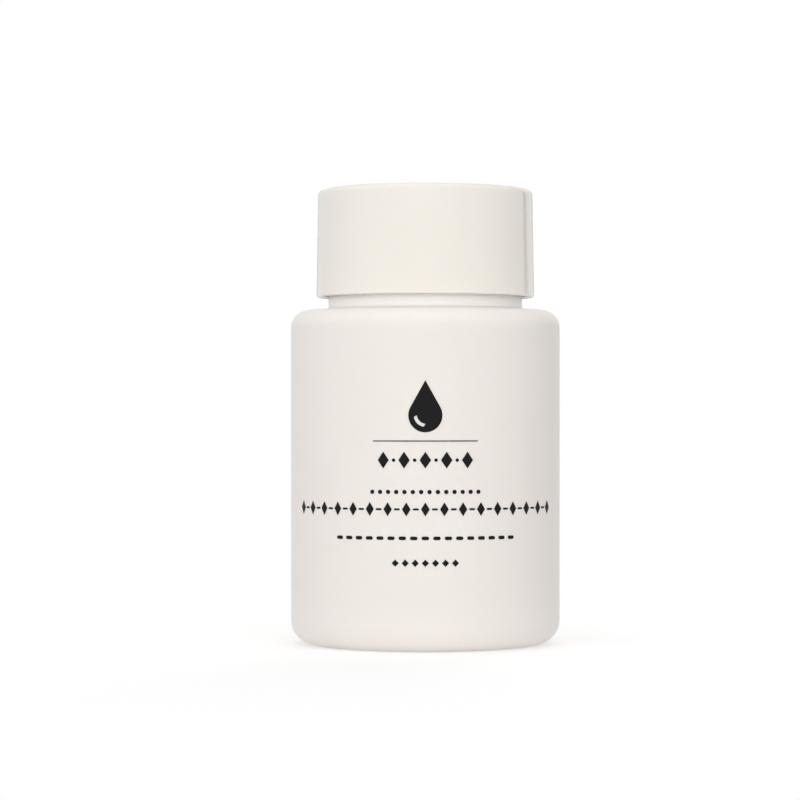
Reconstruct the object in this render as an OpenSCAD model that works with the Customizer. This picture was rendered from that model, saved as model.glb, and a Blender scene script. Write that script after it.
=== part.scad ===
// Nail polish remover sponge jar: a moulded jar with a screw neck, a foam sponge that fills it,
// and a smooth screw cap that holds a sealing liner.
// Millimetres, +Z up, origin at the centre of the base, cap screwed shut.

/* [Jar] */
// Outside diameter of the jar's body
body_d = 48.5; // [40:0.5:70]
// Height of the shoulder's outer edge above the surface the jar stands on
shoulder_z = 60; // [45:0.1:90]
// Thickness of the body wall
wall_t = 1.1; // [0.8:0.05:1.8]
// Outer radius of the corner between base and side
base_round = 4.2; // [2.5:0.1:6]
// Outer radius of the corner between side and shoulder
shoulder_round = 3.1; // [2:0.1:5]
// Rise of the shoulder from its outer edge to the neck
shoulder_rise = 0.15; // [0.1:0.05:1.5]
// Width of the flat ring that the jar stands on
foot_w = 3; // [1.5:0.1:5]
// Depth of the recess inside that ring
push_up = 1; // [0.4:0.1:2]

/* [Neck] */
// Outside diameter of the neck between its threads
neck_d = 34.95; // [28:0.05:37]
// Thickness of the neck wall
neck_t = 1.65; // [1.3:0.05:2.2]
// Height of bare neck between the shoulder and the closed cap
neck_show = 2.25; // [1:0.05:5]
// Radius of the hollow where the neck meets the shoulder
neck_fillet = 0.4; // [0.2:0.1:1]
// Radius of the edge where the shoulder's underside turns into the mouth
throat_round = 1.2; // [0.4:0.1:1.3]
// Radius on both edges of the neck's rim
rim_round = 0.45; // [0.2:0.05:0.6]

/* [Thread] */
// Rise of the thread in one turn
thread_pitch = 4.23; // [3.8:0.01:5]
// Turns of the ridge on the neck
neck_turns = 1.6; // [1.2:0.1:2.2]
// Turns of the ridge inside the cap
cap_turns = 1.5; // [1.2:0.1:2.2]
// Height of the neck's ridge above the neck
neck_ridge_h = 0.95; // [0.7:0.05:1.2]
// Width of the neck's ridge where it leaves the neck
neck_ridge_w = 2; // [1.6:0.1:2.2]
// Width of the neck's ridge at its crest
neck_crest_w = 1; // [0.6:0.1:1.4]
// Width of the cap's ridge where it leaves the skirt
cap_ridge_w = 1.8; // [1.4:0.1:2.2]
// Width of the cap's ridge at its crest
cap_crest_w = 0.9; // [0.6:0.1:1.2]
// Distance from the rim down to the upper edge of the neck's ridge
thread_start = 1.6; // [1.2:0.1:3]
// Gap between the neck's ridge and the cap's skirt
crest_gap = 0.2; // [0.15:0.05:0.4]
// Gap between the cap's ridge and the neck
root_gap = 0.25; // [0.15:0.05:0.4]
// Gap along the axis between the ridges' pulling flanks
flank_gap = 0.15; // [0.1:0.05:0.4]
// Share of a turn in which a ridge grows from nothing to full height
lead_in = 0.12; // [0.08:0.02:0.3]

/* [Cap] */
// Height of the cap
cap_h = 19.35; // [16:0.05:30]
// Thickness of the skirt at its lower edge
skirt_t = 1.05; // [0.9:0.05:2]
// Thickness of the cap's top
top_t = 1.3; // [1:0.05:2.5]
// Inward lean of the skirt's outside, in degrees
cap_draft = 1; // [0:0.1:1]
// Radius of the cap's upper edge
cap_round = 1.05; // [0.4:0.05:1.8]
// Bevel on the skirt's lower edges
skirt_bevel = 0.25; // [0.1:0.05:0.4]

/* [Liner] */
// Thickness of the sealing liner
liner_t = 1; // [0.6:0.1:2]
// Gap between the liner's edge and the skirt
liner_gap = 0.3; // [0.2:0.05:0.5]
// How far the bead under the liner stands out from the skirt
bead_w = 0.55; // [0.4:0.05:0.7]
// Height of that bead
bead_h = 0.8; // [0.6:0.1:1]
// Gap between the bead and the liner
bead_gap = 0.1; // [0.05:0.05:0.2]

/* [Sponge] */
// Room between the top of the sponge and the underside of the shoulder
head_room = 4.8; // [2:0.1:12]
// Gap between the sponge and the jar's wall
sponge_gap = 0.3; // [0.2:0.1:1]
// Radius of the sponge's lower edge, which lies in the jar's corner
sponge_round = 3.2; // [2:0.1:5]
// Radius of the sponge's upper edge
sponge_top_round = 1.6; // [0.5:0.1:3]
// Diameter of the finger hole
finger_d = 14; // [10:0.5:20]
// Thickness of the foam left under the finger hole
foam_under = 10; // [5:0.5:25]
// Width of the four slits that open the foam around the hole
slit_w = 0.8; // [0.5:0.1:2]
// Reach of the slits beyond the hole
slit_reach = 5; // [2:0.5:8]
// Bevel where the foam's top turns into the finger hole
finger_bevel = 1; // [0.5:0.1:2]

/* [Hidden] */

$fn = 96;
// Overlap that makes neighbouring shapes one solid
JOIN = 0.5;
// Flat pieces that a ridge takes for each turn
RIDGE_STEPS = 36;

body_r = body_d / 2;
inner_r = body_r - wall_t;
neck_r = neck_d / 2;
mouth_r = neck_r - neck_t;

// Levels along the axis, from the base up
floor_z = push_up + wall_t;
neck_z = shoulder_z + shoulder_rise;
cap_z = neck_z + neck_show;
ceiling_z = cap_z + cap_h - top_t;
rim_z = ceiling_z - liner_t;

// The base: flat ring, then a recess with sides at 45 degrees and a floor of even thickness
foot_r = body_r - base_round - foot_w;
panel_r = foot_r - push_up;
floor_step = wall_t * tan(22.5);

// The cap's bore clears the neck's ridge, and its own ridge clears the neck
neck_crest_r = neck_r + neck_ridge_h;
skirt_in_r = neck_crest_r + crest_gap;
cap_crest_r = neck_r + root_gap;
skirt_low_r = skirt_in_r + skirt_t;
skirt_top_r = skirt_low_r - cap_h * tan(cap_draft);
liner_r = skirt_in_r - liner_gap;
bead_r = skirt_in_r - bead_w;
bead_z = rim_z - bead_gap;

// Half the width of each ridge at a given radius
function neck_half(r) = (neck_ridge_w - (neck_ridge_w - neck_crest_w) * (r - neck_r) / neck_ridge_h) / 2;
function cap_half(r) =
    (cap_crest_w + (cap_ridge_w - cap_crest_w) * (r - cap_crest_r) / (skirt_in_r - cap_crest_r)) / 2;

// Height of the middle of each ridge at its lower end: the cap's ridge hangs just under the neck's
ridge_drop = flank_gap + max(
    neck_half(cap_crest_r) + cap_crest_w / 2,
    neck_crest_w / 2 + cap_half(neck_crest_r)
);
neck_ridge_z = rim_z - thread_start - neck_ridge_w / 2 - thread_pitch * neck_turns;
cap_ridge_z = neck_ridge_z - ridge_drop;

sponge_r = inner_r - sponge_gap;
sponge_top = shoulder_z - wall_t - head_room;
finger_r = finger_d / 2;
finger_floor = floor_z + foam_under;
finger_depth = sponge_top - finger_floor;

// Height of a ridge as a share of its full height: it grows and fades over the lead-in
function ridge_growth(i, steps, turns) = min(1, min(i, steps - i) / steps * turns / lead_in);

// A ridge's section at one step, as points [radius, height], from its buried foot to its crest
function ridge_section(wall_r, crest_r, foot_w, crest_w, growth, z) =
    let (
        out = sign(crest_r - wall_r),
        bury = 0.35,
        skin = 0.1,
        slope = (foot_w - crest_w) / 2 / abs(crest_r - wall_r),
        foot = [wall_r - out * bury, foot_w / 2 + bury * slope],
        tip_r = wall_r - out * skin + growth * (crest_r - wall_r + out * skin),
        tip = [tip_r, crest_w / 2]
    )
    out > 0
        ? [[foot.x, z - foot.y], [tip.x, z - tip.y], [tip.x, z + tip.y], [foot.x, z + foot.y]]
        : [[tip.x, z - tip.y], [foot.x, z - foot.y], [foot.x, z + foot.y], [tip.x, z + tip.y]];

// A right-hand helical ridge on a wall of radius wall_r, from height z up
module ridge(wall_r, crest_r, foot_w, crest_w, turns, z) {
    steps = ceil(turns * RIDGE_STEPS);
    points = [
        for (i = [0 : steps])
            let (
                share = i / steps,
                angle = 360 * turns * share,
                growth = ridge_growth(i, steps, turns),
                middle = z + thread_pitch * turns * share
            )
            for (p = ridge_section(wall_r, crest_r, foot_w, crest_w, growth, middle))
                [p.x * cos(angle), p.x * sin(angle), p.y]
    ];
    sides = [
        for (i = [0 : steps - 1], j = [0 : 3])
            let (a = 4 * i + j, b = 4 * i + (j + 1) % 4)
            each [[a, b, b + 4], [a, b + 4, a + 4]]
    ];
    last = 4 * steps;
    ends = [[0, 3, 2], [0, 2, 1], [last, last + 1, last + 2], [last, last + 2, last + 3]];
    polyhedron(points = points, faces = concat(sides, ends), convexity = 6);
}

// Half of an upright drum's outline with rounded corners, to be turned about the axis
module drum_outline(r, low, high, low_round, high_round) {
    translate([0, low + low_round])
        square([r, high - low - low_round - high_round]);
    translate([0, low])
        square([r - low_round, low_round + JOIN]);
    translate([0, high - high_round - JOIN])
        square([r - high_round, high_round + JOIN]);
    translate([r - low_round, low + low_round])
        circle(r = low_round);
    translate([r - high_round, high - high_round])
        circle(r = high_round);
}

// The corner that a round of radius r leaves, with its point at the origin and its sides along +X and +Y
module hollow_corner(r) {
    difference() {
        translate([-JOIN, -JOIN])
            square(r + JOIN);
        translate([r, r])
            circle(r = r);
    }
}

// Everything inside the jar's outer skin, from the base to the rim
module jar_skin_outline() {
    drum_outline(body_r, 0, shoulder_z, base_round, shoulder_round);
    polygon([
        [0, shoulder_z - JOIN],
        [body_r - shoulder_round, shoulder_z - JOIN],
        [body_r - shoulder_round, shoulder_z],
        [neck_r, neck_z],
        [0, neck_z]
    ]);
    translate([0, neck_z - JOIN])
        square([neck_r, rim_z - neck_z + JOIN - rim_round]);
    translate([0, rim_z - rim_round - JOIN])
        square([neck_r - rim_round, rim_round + JOIN]);
    translate([neck_r - rim_round, rim_z - rim_round])
        circle(r = rim_round);
    translate([neck_r, neck_z])
        hollow_corner(neck_fillet);
}

// The hollow of the jar, from the floor through the mouth
module jar_hollow_outline() {
    difference() {
        drum_outline(inner_r, wall_t, shoulder_z - wall_t, base_round - wall_t, shoulder_round - wall_t);
        polygon([
            [0, 0],
            [foot_r + floor_step, 0],
            [foot_r + floor_step, wall_t],
            [panel_r + floor_step, floor_z],
            [0, floor_z]
        ]);
    }
    translate([0, floor_z + JOIN])
        square([mouth_r, rim_z]);
    translate([mouth_r, shoulder_z - wall_t])
        hollow_corner(throat_round);
    translate([mouth_r, rim_z])
        mirror([0, 1])
            hollow_corner(rim_round);
}

// The recess under the base
module push_up_outline() {
    polygon([[0, -JOIN], [foot_r + JOIN, -JOIN], [panel_r, push_up], [0, push_up]]);
}

module jar() {
    color([0.94, 0.92, 0.89]) {
        rotate_extrude()
            difference() {
                jar_skin_outline();
                jar_hollow_outline();
                push_up_outline();
            }
        ridge(neck_r, neck_crest_r, neck_ridge_w, neck_crest_w, neck_turns, neck_ridge_z);
    }
}

// The finger hole, widened by a bevel at its mouth
module finger_outline() {
    translate([0, finger_floor])
        square([finger_r, finger_depth + JOIN]);
    polygon([
        [0, sponge_top - finger_bevel],
        [finger_r, sponge_top - finger_bevel],
        [finger_r + finger_bevel + JOIN, sponge_top + JOIN],
        [0, sponge_top + JOIN]
    ]);
}

// One slit through the foam, across the finger hole
module slit() {
    reach = finger_r + slit_reach;
    translate([-reach, -slit_w / 2, finger_floor])
        cube([2 * reach, slit_w, finger_depth + JOIN]);
}

module sponge() {
    color([0.86, 0.58, 0.62])
        difference() {
            rotate_extrude()
                difference() {
                    drum_outline(sponge_r, floor_z, sponge_top, sponge_round, sponge_top_round);
                    finger_outline();
                }
            slit();
            rotate([0, 0, 90])
                slit();
        }
}

module cap_liner() {
    color([0.97, 0.97, 0.96])
        translate([0, 0, rim_z])
            cylinder(r = liner_r, h = liner_t);
}

// Everything inside the cap's outer skin: a leaning side, a bevelled lower and a rounded upper edge
module cap_skin_outline() {
    top_z = cap_z + cap_h;
    // The round touches the flat top and the leaning side, so its centre lies between the two
    round_x = skirt_top_r - cap_round * (1 - sin(cap_draft)) / cos(cap_draft);
    touch = [round_x + cap_round * cos(cap_draft), top_z - cap_round + cap_round * sin(cap_draft)];
    polygon([
        [0, cap_z],
        [skirt_low_r - skirt_bevel, cap_z],
        [skirt_low_r - skirt_bevel * tan(cap_draft), cap_z + skirt_bevel],
        touch,
        [round_x, top_z],
        [0, top_z]
    ]);
    translate([round_x, top_z - cap_round])
        circle(r = cap_round);
}

// The cap's hollow: the bore, opened at the mouth, less the bead that keeps the liner in
module cap_hollow_outline() {
    difference() {
        translate([0, cap_z - JOIN])
            square([skirt_in_r, ceiling_z - cap_z + JOIN]);
        polygon([
            [skirt_in_r + JOIN, bead_z],
            [bead_r, bead_z - bead_h / 4],
            [bead_r, bead_z - bead_h / 2],
            [skirt_in_r, bead_z - bead_h],
            [skirt_in_r + JOIN, bead_z - bead_h]
        ]);
    }
    polygon([
        [0, cap_z - JOIN],
        [skirt_in_r + skirt_bevel + JOIN, cap_z - JOIN],
        [skirt_in_r, cap_z + skirt_bevel],
        [0, cap_z + skirt_bevel]
    ]);
}

module cap() {
    color([0.93, 0.91, 0.88]) {
        rotate_extrude()
            difference() {
                cap_skin_outline();
                cap_hollow_outline();
            }
        ridge(skirt_in_r, cap_crest_r, cap_ridge_w, cap_crest_w, cap_turns, cap_ridge_z);
    }
}

jar();
sponge();
cap_liner();
cap();
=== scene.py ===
"""The looks of the nail polish remover sponge jar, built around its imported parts.

The jar, its cap and the cap's liner keep their solids and get moulded finishes. The foam
in the jar and the ornament printed on its front are made here. Lengths are in metres
unless they are said to be in millimetres.
"""

from __future__ import annotations

import logging
import math
from dataclasses import dataclass, field
from enum import Enum
from typing import Iterable, Sequence

import bmesh
import bpy
import numpy as np
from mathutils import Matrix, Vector

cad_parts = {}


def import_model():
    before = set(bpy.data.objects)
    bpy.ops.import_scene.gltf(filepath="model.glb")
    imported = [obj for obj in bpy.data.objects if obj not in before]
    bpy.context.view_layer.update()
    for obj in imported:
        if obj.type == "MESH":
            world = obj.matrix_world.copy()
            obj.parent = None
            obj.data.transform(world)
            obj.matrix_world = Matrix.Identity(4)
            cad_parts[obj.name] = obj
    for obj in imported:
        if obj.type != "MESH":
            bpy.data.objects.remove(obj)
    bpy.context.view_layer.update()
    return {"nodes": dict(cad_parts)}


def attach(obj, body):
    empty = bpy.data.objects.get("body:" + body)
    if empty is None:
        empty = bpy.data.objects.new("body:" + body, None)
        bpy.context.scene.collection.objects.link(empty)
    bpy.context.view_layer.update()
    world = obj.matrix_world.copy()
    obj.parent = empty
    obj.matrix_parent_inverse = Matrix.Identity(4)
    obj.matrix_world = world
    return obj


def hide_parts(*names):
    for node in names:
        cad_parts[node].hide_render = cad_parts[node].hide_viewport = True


LOG = logging.getLogger("sponge_jar")
MM = 0.001
MERGE = 1e-7  # Points nearer than this become one.
TINY = 1e-6  # Keeps a divisor off zero.

Number = float | int
Pair = tuple[float, float]
Point = tuple[float, float, float]


@dataclass(frozen=True)
class Tint:
    """A linear colour."""

    red: float
    green: float
    blue: float

    def rgba(self) -> tuple[float, float, float, float]:
        """The colour with a full alpha, as a node's colour socket takes it."""
        return (self.red, self.green, self.blue, 1.0)

    def times(self, share: float) -> Tint:
        """The colour made darker or lighter by a share."""
        return Tint(self.red * share, self.green * share, self.blue * share)


WHITE = Tint(1.0, 1.0, 1.0)


@dataclass(frozen=True)
class Noise:
    """Noise about 0.5: blotches in a metre, octaves, and how strong each finer octave is."""

    scale: float
    detail: float = 2.0
    rough: float = 0.5


class Wire:
    """One output of a node, which reads like a number in an expression."""

    def __init__(self, graph: Graph, socket: bpy.types.NodeSocket) -> None:
        """Keeps the socket and the graph that it belongs to."""
        self.graph = graph
        self.socket = socket

    def __add__(self, other: Wire | Number) -> Wire:
        """The sum as an Add node."""
        return self.graph.math("ADD", self, other)

    def __sub__(self, other: Wire | Number) -> Wire:
        """The difference as a Subtract node."""
        return self.graph.math("SUBTRACT", self, other)

    def __rsub__(self, other: Wire | Number) -> Wire:
        """The difference where the number stands first."""
        return self.graph.math("SUBTRACT", other, self)

    def __mul__(self, other: Wire | Number) -> Wire:
        """The product as a Multiply node."""
        return self.graph.math("MULTIPLY", self, other)

    def __truediv__(self, other: Wire | Number) -> Wire:
        """The quotient as a Divide node."""
        return self.graph.math("DIVIDE", self, other)

    def __rtruediv__(self, other: Wire | Number) -> Wire:
        """The quotient where the number stands first."""
        return self.graph.math("DIVIDE", other, self)

    def __gt__(self, other: Wire | Number) -> Wire:
        """1 where this is the greater, else 0."""
        return self.graph.math("GREATER_THAN", self, other)

    __radd__ = __add__
    __rmul__ = __mul__


class Graph:
    """A node tree that is written from Python, for a material or for Geometry Nodes."""

    def __init__(self, tree: bpy.types.NodeTree) -> None:
        """Takes an empty tree."""
        self.tree = tree

    @classmethod
    def emptied(cls, owner: bpy.types.Material | bpy.types.World) -> Graph:
        """Empties the tree of a material or a world.

        Args:
            owner: The material or the world.

        Returns:
            Its graph.
        """
        owner.use_nodes = True
        owner.node_tree.nodes.clear()
        return cls(owner.node_tree)

    def node(
        self,
        kind: str,
        settings: dict[str, object] | None = None,
        sockets: dict[str | int, object] | None = None,
    ) -> bpy.types.Node:
        """Adds a node.

        Args:
            kind: The node's type.
            settings: Properties of the node, set before its sockets.
            sockets: Values or wires of its inputs, by name or by number.

        Returns:
            The node.
        """
        made = self.tree.nodes.new(kind)
        for name, value in (settings or {}).items():
            setattr(made, name, value)
        for key, value in (sockets or {}).items():
            self.feed(made.inputs[key], value)
        return made

    def feed(self, entry: bpy.types.NodeSocket, value: object) -> None:
        """Sets an input to a value, or links a wire to it.

        Args:
            entry: The input.
            value: A wire, a tint, a number or a row of numbers.
        """
        if isinstance(value, Wire):
            self.tree.links.new(value.socket, entry)
        elif isinstance(value, Tint):
            entry.default_value = value.rgba()
        else:
            entry.default_value = value

    def wire(
        self,
        kind: str,
        settings: dict[str, object] | None = None,
        sockets: dict[str | int, object] | None = None,
        output: str | int = 0,
    ) -> Wire:
        """Adds a node as node() does, and returns one of its outputs."""
        return Wire(self, self.node(kind, settings, sockets).outputs[output])

    def math(self, operation: str, *values: Wire | Number) -> Wire:
        """Adds a Math node whose inputs are the values in order."""
        settings = {"operation": operation}
        return self.wire("ShaderNodeMath", settings, dict(enumerate(values)))

    def vector(self, operation: str, *values: Wire | Point) -> Wire:
        """Adds a Vector Math node.

        Args:
            operation: The node's operation.
            values: Its inputs in order.

        Returns:
            The vector, or the number where the operation measures a length.
        """
        end = "Value" if operation == "LENGTH" else "Vector"
        settings = {"operation": operation}
        return self.wire("ShaderNodeVectorMath", settings, dict(enumerate(values)), end)

    def ramp(self, value: Wire, low: float, high: float) -> Wire:
        """A smooth step of a value.

        Args:
            value: What is measured.
            low: Where the step starts, at 0.
            high: Where the step ends, at 1. It may be below low.

        Returns:
            The step, from 0 to 1.
        """
        if low > high:
            return 1 - self.ramp(value, high, low)
        settings = {"interpolation_type": "SMOOTHSTEP"}
        sockets = {"Value": value, "From Min": low, "From Max": high}
        return self.wire("ShaderNodeMapRange", settings, sockets)

    def noise(self, place: Wire, kind: Noise) -> Wire:
        """Adds noise.

        Args:
            place: The position that is read, in metres.
            kind: The noise's scale and octaves.

        Returns:
            The noise, about 0.5.
        """
        sockets = {"Vector": place, "Scale": kind.scale}
        sockets |= {"Detail": kind.detail, "Roughness": kind.rough}
        return self.wire("ShaderNodeTexNoise", None, sockets)

    def cells(self, place: Wire, size: Wire | float) -> Wire:
        """Adds scattered cells.

        Args:
            place: The position that is read, in metres.
            size: How far apart the cells lie.

        Returns:
            How far the position is from a cell's middle, in cell sizes.
        """
        sockets = {"Vector": place, "Scale": 1 / size}
        return self.wire("ShaderNodeTexVoronoi", None, sockets, "Distance")

    def mix(self, share: Wire | float, first: Wire | Tint, second: Wire | Tint) -> Wire:
        """A colour between two colours.

        Args:
            share: 0 for the first colour, 1 for the second.
            first: A wire or a tint.
            second: A wire or a tint.

        Returns:
            The mixed colour.
        """
        # In colour mode the node's factor, colours and result are sockets 0, 6, 7 and 2.
        sockets = {0: share, 6: first, 7: second}
        return self.wire("ShaderNodeMix", {"data_type": "RGBA"}, sockets, 2)

    def seen_share(self) -> Wire:
        """Tells the rays that show a surface from those that only light one.

        Returns:
            1 for a ray that the camera, a mirror or glass sends, else 0.
        """
        path = self.node("ShaderNodeLightPath")
        names = ("Is Camera Ray", "Is Glossy Ray", "Is Transmission Ray")
        seen, mirrored, sent = (Wire(self, path.outputs[name]) for name in names)
        return self.math("MAXIMUM", seen, self.math("MAXIMUM", mirrored, sent))

    def glowing(self, colour: Wire | Tint, strength: float) -> Wire:
        """A matt shader that also gives off white light.

        Args:
            colour: The matt colour.
            strength: How strong the light is.

        Returns:
            The shader.
        """
        matt = self.wire("ShaderNodeBsdfDiffuse", None, {"Color": colour})
        lit = self.wire("ShaderNodeEmission", None, {"Color": WHITE, "Strength": strength})
        return self.wire("ShaderNodeAddShader", None, {0: matt, 1: lit})

    def blend(self, share: Wire, first: Wire, second: Wire) -> Wire:
        """A mix of two shaders: the first where the share is 0, the second where it is 1."""
        return self.wire("ShaderNodeMixShader", None, {0: share, 1: first, 2: second})


@dataclass(frozen=True)
class Place:
    """Where a shaded point lies on a turned part, read from Object coordinates."""

    graph: Graph
    spot: Wire
    along: Wire
    height: Wire
    radius: Wire
    turn: Wire

    @classmethod
    def read(cls, graph: Graph) -> Place:
        """Reads the place of the shaded point.

        Args:
            graph: The material's graph.

        Returns:
            Its coordinates, its distance from the axis and its angle about it.
        """
        spot = graph.wire("ShaderNodeTexCoord", None, None, "Object")
        split = graph.node("ShaderNodeSeparateXYZ", None, {0: spot})
        across, along, height = (Wire(graph, out) for out in split.outputs)
        radius = graph.math("SQRT", across * across + along * along)
        turn = graph.math("ARCTAN2", along, across)
        return cls(graph, spot, along, height, radius, turn)


@dataclass(frozen=True)
class Coat:
    """What varies over a finish. The relief is in the finish's relief depths."""

    colour: Wire
    roughness: Wire
    relief: Wire


@dataclass(frozen=True)
class Surface:
    """What a material is made of, written as nodes."""

    label: str

    def material(self) -> bpy.types.Material:
        """Makes the material.

        Returns:
            The material, its surface linked.
        """
        made = bpy.data.materials.new(self.label)
        graph = Graph.emptied(made)
        graph.node("ShaderNodeOutputMaterial", None, {"Surface": self.shader(graph)})
        return made

    def shader(self, graph: Graph) -> Wire:
        """Writes the nodes. Each kind of surface has its own.

        Args:
            graph: The material's graph.

        Returns:
            The shader.
        """
        raise NotImplementedError


@dataclass(frozen=True)
class Finish(Surface):
    """A finish of the object. A pair says where a mark starts and where it is full."""

    colour: Tint
    roughness: float
    ior: float = 1.5
    relief_depth: float = 0.01 * MM

    def shader(self, graph: Graph) -> Wire:
        """Adds the Principled shader and feeds it.

        Args:
            graph: The material's graph.

        Returns:
            The shader.
        """
        coat = self.coat(Place.read(graph))
        bump = {"Height": coat.relief, "Distance": self.relief_depth, "Strength": 1.0}
        sockets = self.constants() | {
            "Base Color": coat.colour,
            "Roughness": coat.roughness,
            "Normal": graph.wire("ShaderNodeBump", None, bump),
        }
        return graph.wire("ShaderNodeBsdfPrincipled", None, sockets)

    def constants(self) -> dict[str, object]:
        """The shader's inputs that are the same all over the surface."""
        return {"IOR": self.ior}

    def coat(self, place: Place) -> Coat:
        """Writes what varies. Each finish has its own.

        Args:
            place: The shaded point.

        Returns:
            Its colour, roughness and relief.
        """
        raise NotImplementedError


@dataclass(frozen=True)
class PalePlastic(Finish):
    """A plastic that lets some light into its skin, the red furthest."""

    light_share: float = 0.5
    light_depth: float = 0.6 * MM
    light_spread: Point = (1.0, 0.9, 0.8)

    def constants(self) -> dict[str, object]:
        """The shader's inputs that are the same all over the surface.

        Returns:
            The values by the inputs' names.
        """
        return super().constants() | {
            "Subsurface Weight": self.light_share,
            "Subsurface Radius": self.light_spread,
            "Subsurface Scale": self.light_depth,
        }


@dataclass(frozen=True)
class BlownPlastic(PalePlastic):
    """Satin polyethylene, with the skin of its mould and the wear of handling."""

    relief_depth: float = 0.006 * MM
    skin: Noise = Noise(1 / (0.55 * MM), 2, 0.6)
    clouds: Noise = Noise(70, 3)
    mottle: float = 0.02
    waves: Noise = Noise(140, 2)
    wave_gloss: float = 0.08
    wave_relief: float = 0.8
    scratches: Noise = Noise(900, 4, 0.7)
    scratch_run: Point = (1.0, 1.0, 9.0)
    scratch_band: Pair = (0.56, 0.68)
    foot_wear: Pair = (3.6 * MM, 1.6 * MM)
    edge_level: float = 58.6 * MM
    edge_wear: Pair = (1.4 * MM, 0.2 * MM)
    edge_share: float = 0.55
    worn_share: float = 0.35
    worn_tone: float = 0.8
    worn_gloss: float = 0.16
    worn_relief: float = 0.9
    # Painted light: the neck is painted paler than the body, most at its foot, standing in for
    # light where the cap and shoulder shade it.
    painted_neck_light: Tint = Tint(0.965, 0.925, 0.885)
    neck_start: Pair = (59.9 * MM, 60.2 * MM)
    neck_wall: Pair = (18.6 * MM, 18.0 * MM)
    neck_fade: Pair = (69.2 * MM, 60.2 * MM)
    neck_least: float = 0.2
    line_width: Pair = (0.16 * MM, 0.04 * MM)
    line_from: float = 16 * MM
    line_relief: float = 2.2
    weld_width: Pair = (0.5 * MM, 0.22 * MM)
    weld_height: Pair = (4.0 * MM, 2.0 * MM)
    weld_end: Pair = (14.2 * MM, 13.6 * MM)
    weld_relief: float = 16

    def coat(self, place: Place) -> Coat:
        """Writes the mottle, the neck's painted light, the mould's skin and parting, and the
        wear.

        Args:
            place: The shaded point.

        Returns:
            Its colour, roughness and relief.
        """
        graph = place.graph
        waves = graph.noise(place.spot, self.waves)
        worn = self.worn(place)
        dark, pale = self.colour.times(1 - self.mottle), self.colour.times(1 + self.mottle)
        tone = graph.mix(graph.noise(place.spot, self.clouds), dark, pale)
        # Painted light on the neck, palest at its foot by the shoulder's crease.
        tone = graph.mix(self.neck(place), tone, self.painted_neck_light)
        tone = graph.mix(worn * self.worn_share, tone, self.colour.times(self.worn_tone))
        gloss = (waves - 0.5) * self.wave_gloss + worn * self.worn_gloss + self.roughness
        relief = graph.noise(place.spot, self.skin) + waves * self.wave_relief
        return Coat(tone, gloss, relief - worn * self.worn_relief + self.parting(place))

    def worn(self, place: Place) -> Wire:
        """Fine scratches round the foot and the shoulder's edge.

        Args:
            place: The shaded point.

        Returns:
            How worn it is, from 0 to 1.
        """
        graph = place.graph
        foot = graph.ramp(place.height, *self.foot_wear)
        off_edge = graph.math("ABSOLUTE", place.height - self.edge_level)
        edge = graph.ramp(off_edge, *self.edge_wear) * self.edge_share
        drawn = graph.vector("MULTIPLY", place.spot, self.scratch_run)
        scratches = graph.ramp(graph.noise(drawn, self.scratches), *self.scratch_band)
        return graph.math("MAXIMUM", foot, edge) * scratches

    def neck(self, place: Place) -> Wire:
        """Where light is painted on the neck, paler than the body, most at its foot by the
        shoulder's crease.

        Args:
            place: The shaded point.

        Returns:
            The share of the neck's painted light.
        """
        ramp = place.graph.ramp
        wall = ramp(place.height, *self.neck_start) * ramp(place.radius, *self.neck_wall)
        fade = ramp(place.height, *self.neck_fade)
        return wall * (fade * (1 - self.neck_least) + self.neck_least)

    def parting(self, place: Place) -> Wire:
        """The mould's parting line down both sides, and the pinched weld across the base.

        Args:
            place: The shaded point.

        Returns:
            The relief.
        """
        ramp = place.graph.ramp
        off_line = place.graph.math("ABSOLUTE", place.along)
        line = ramp(off_line, *self.line_width) * (place.radius > self.line_from)
        base = ramp(place.height, *self.weld_height) * ramp(place.radius, *self.weld_end)
        weld = ramp(off_line, *self.weld_width) * base
        return line * self.line_relief + weld * self.weld_relief


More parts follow.
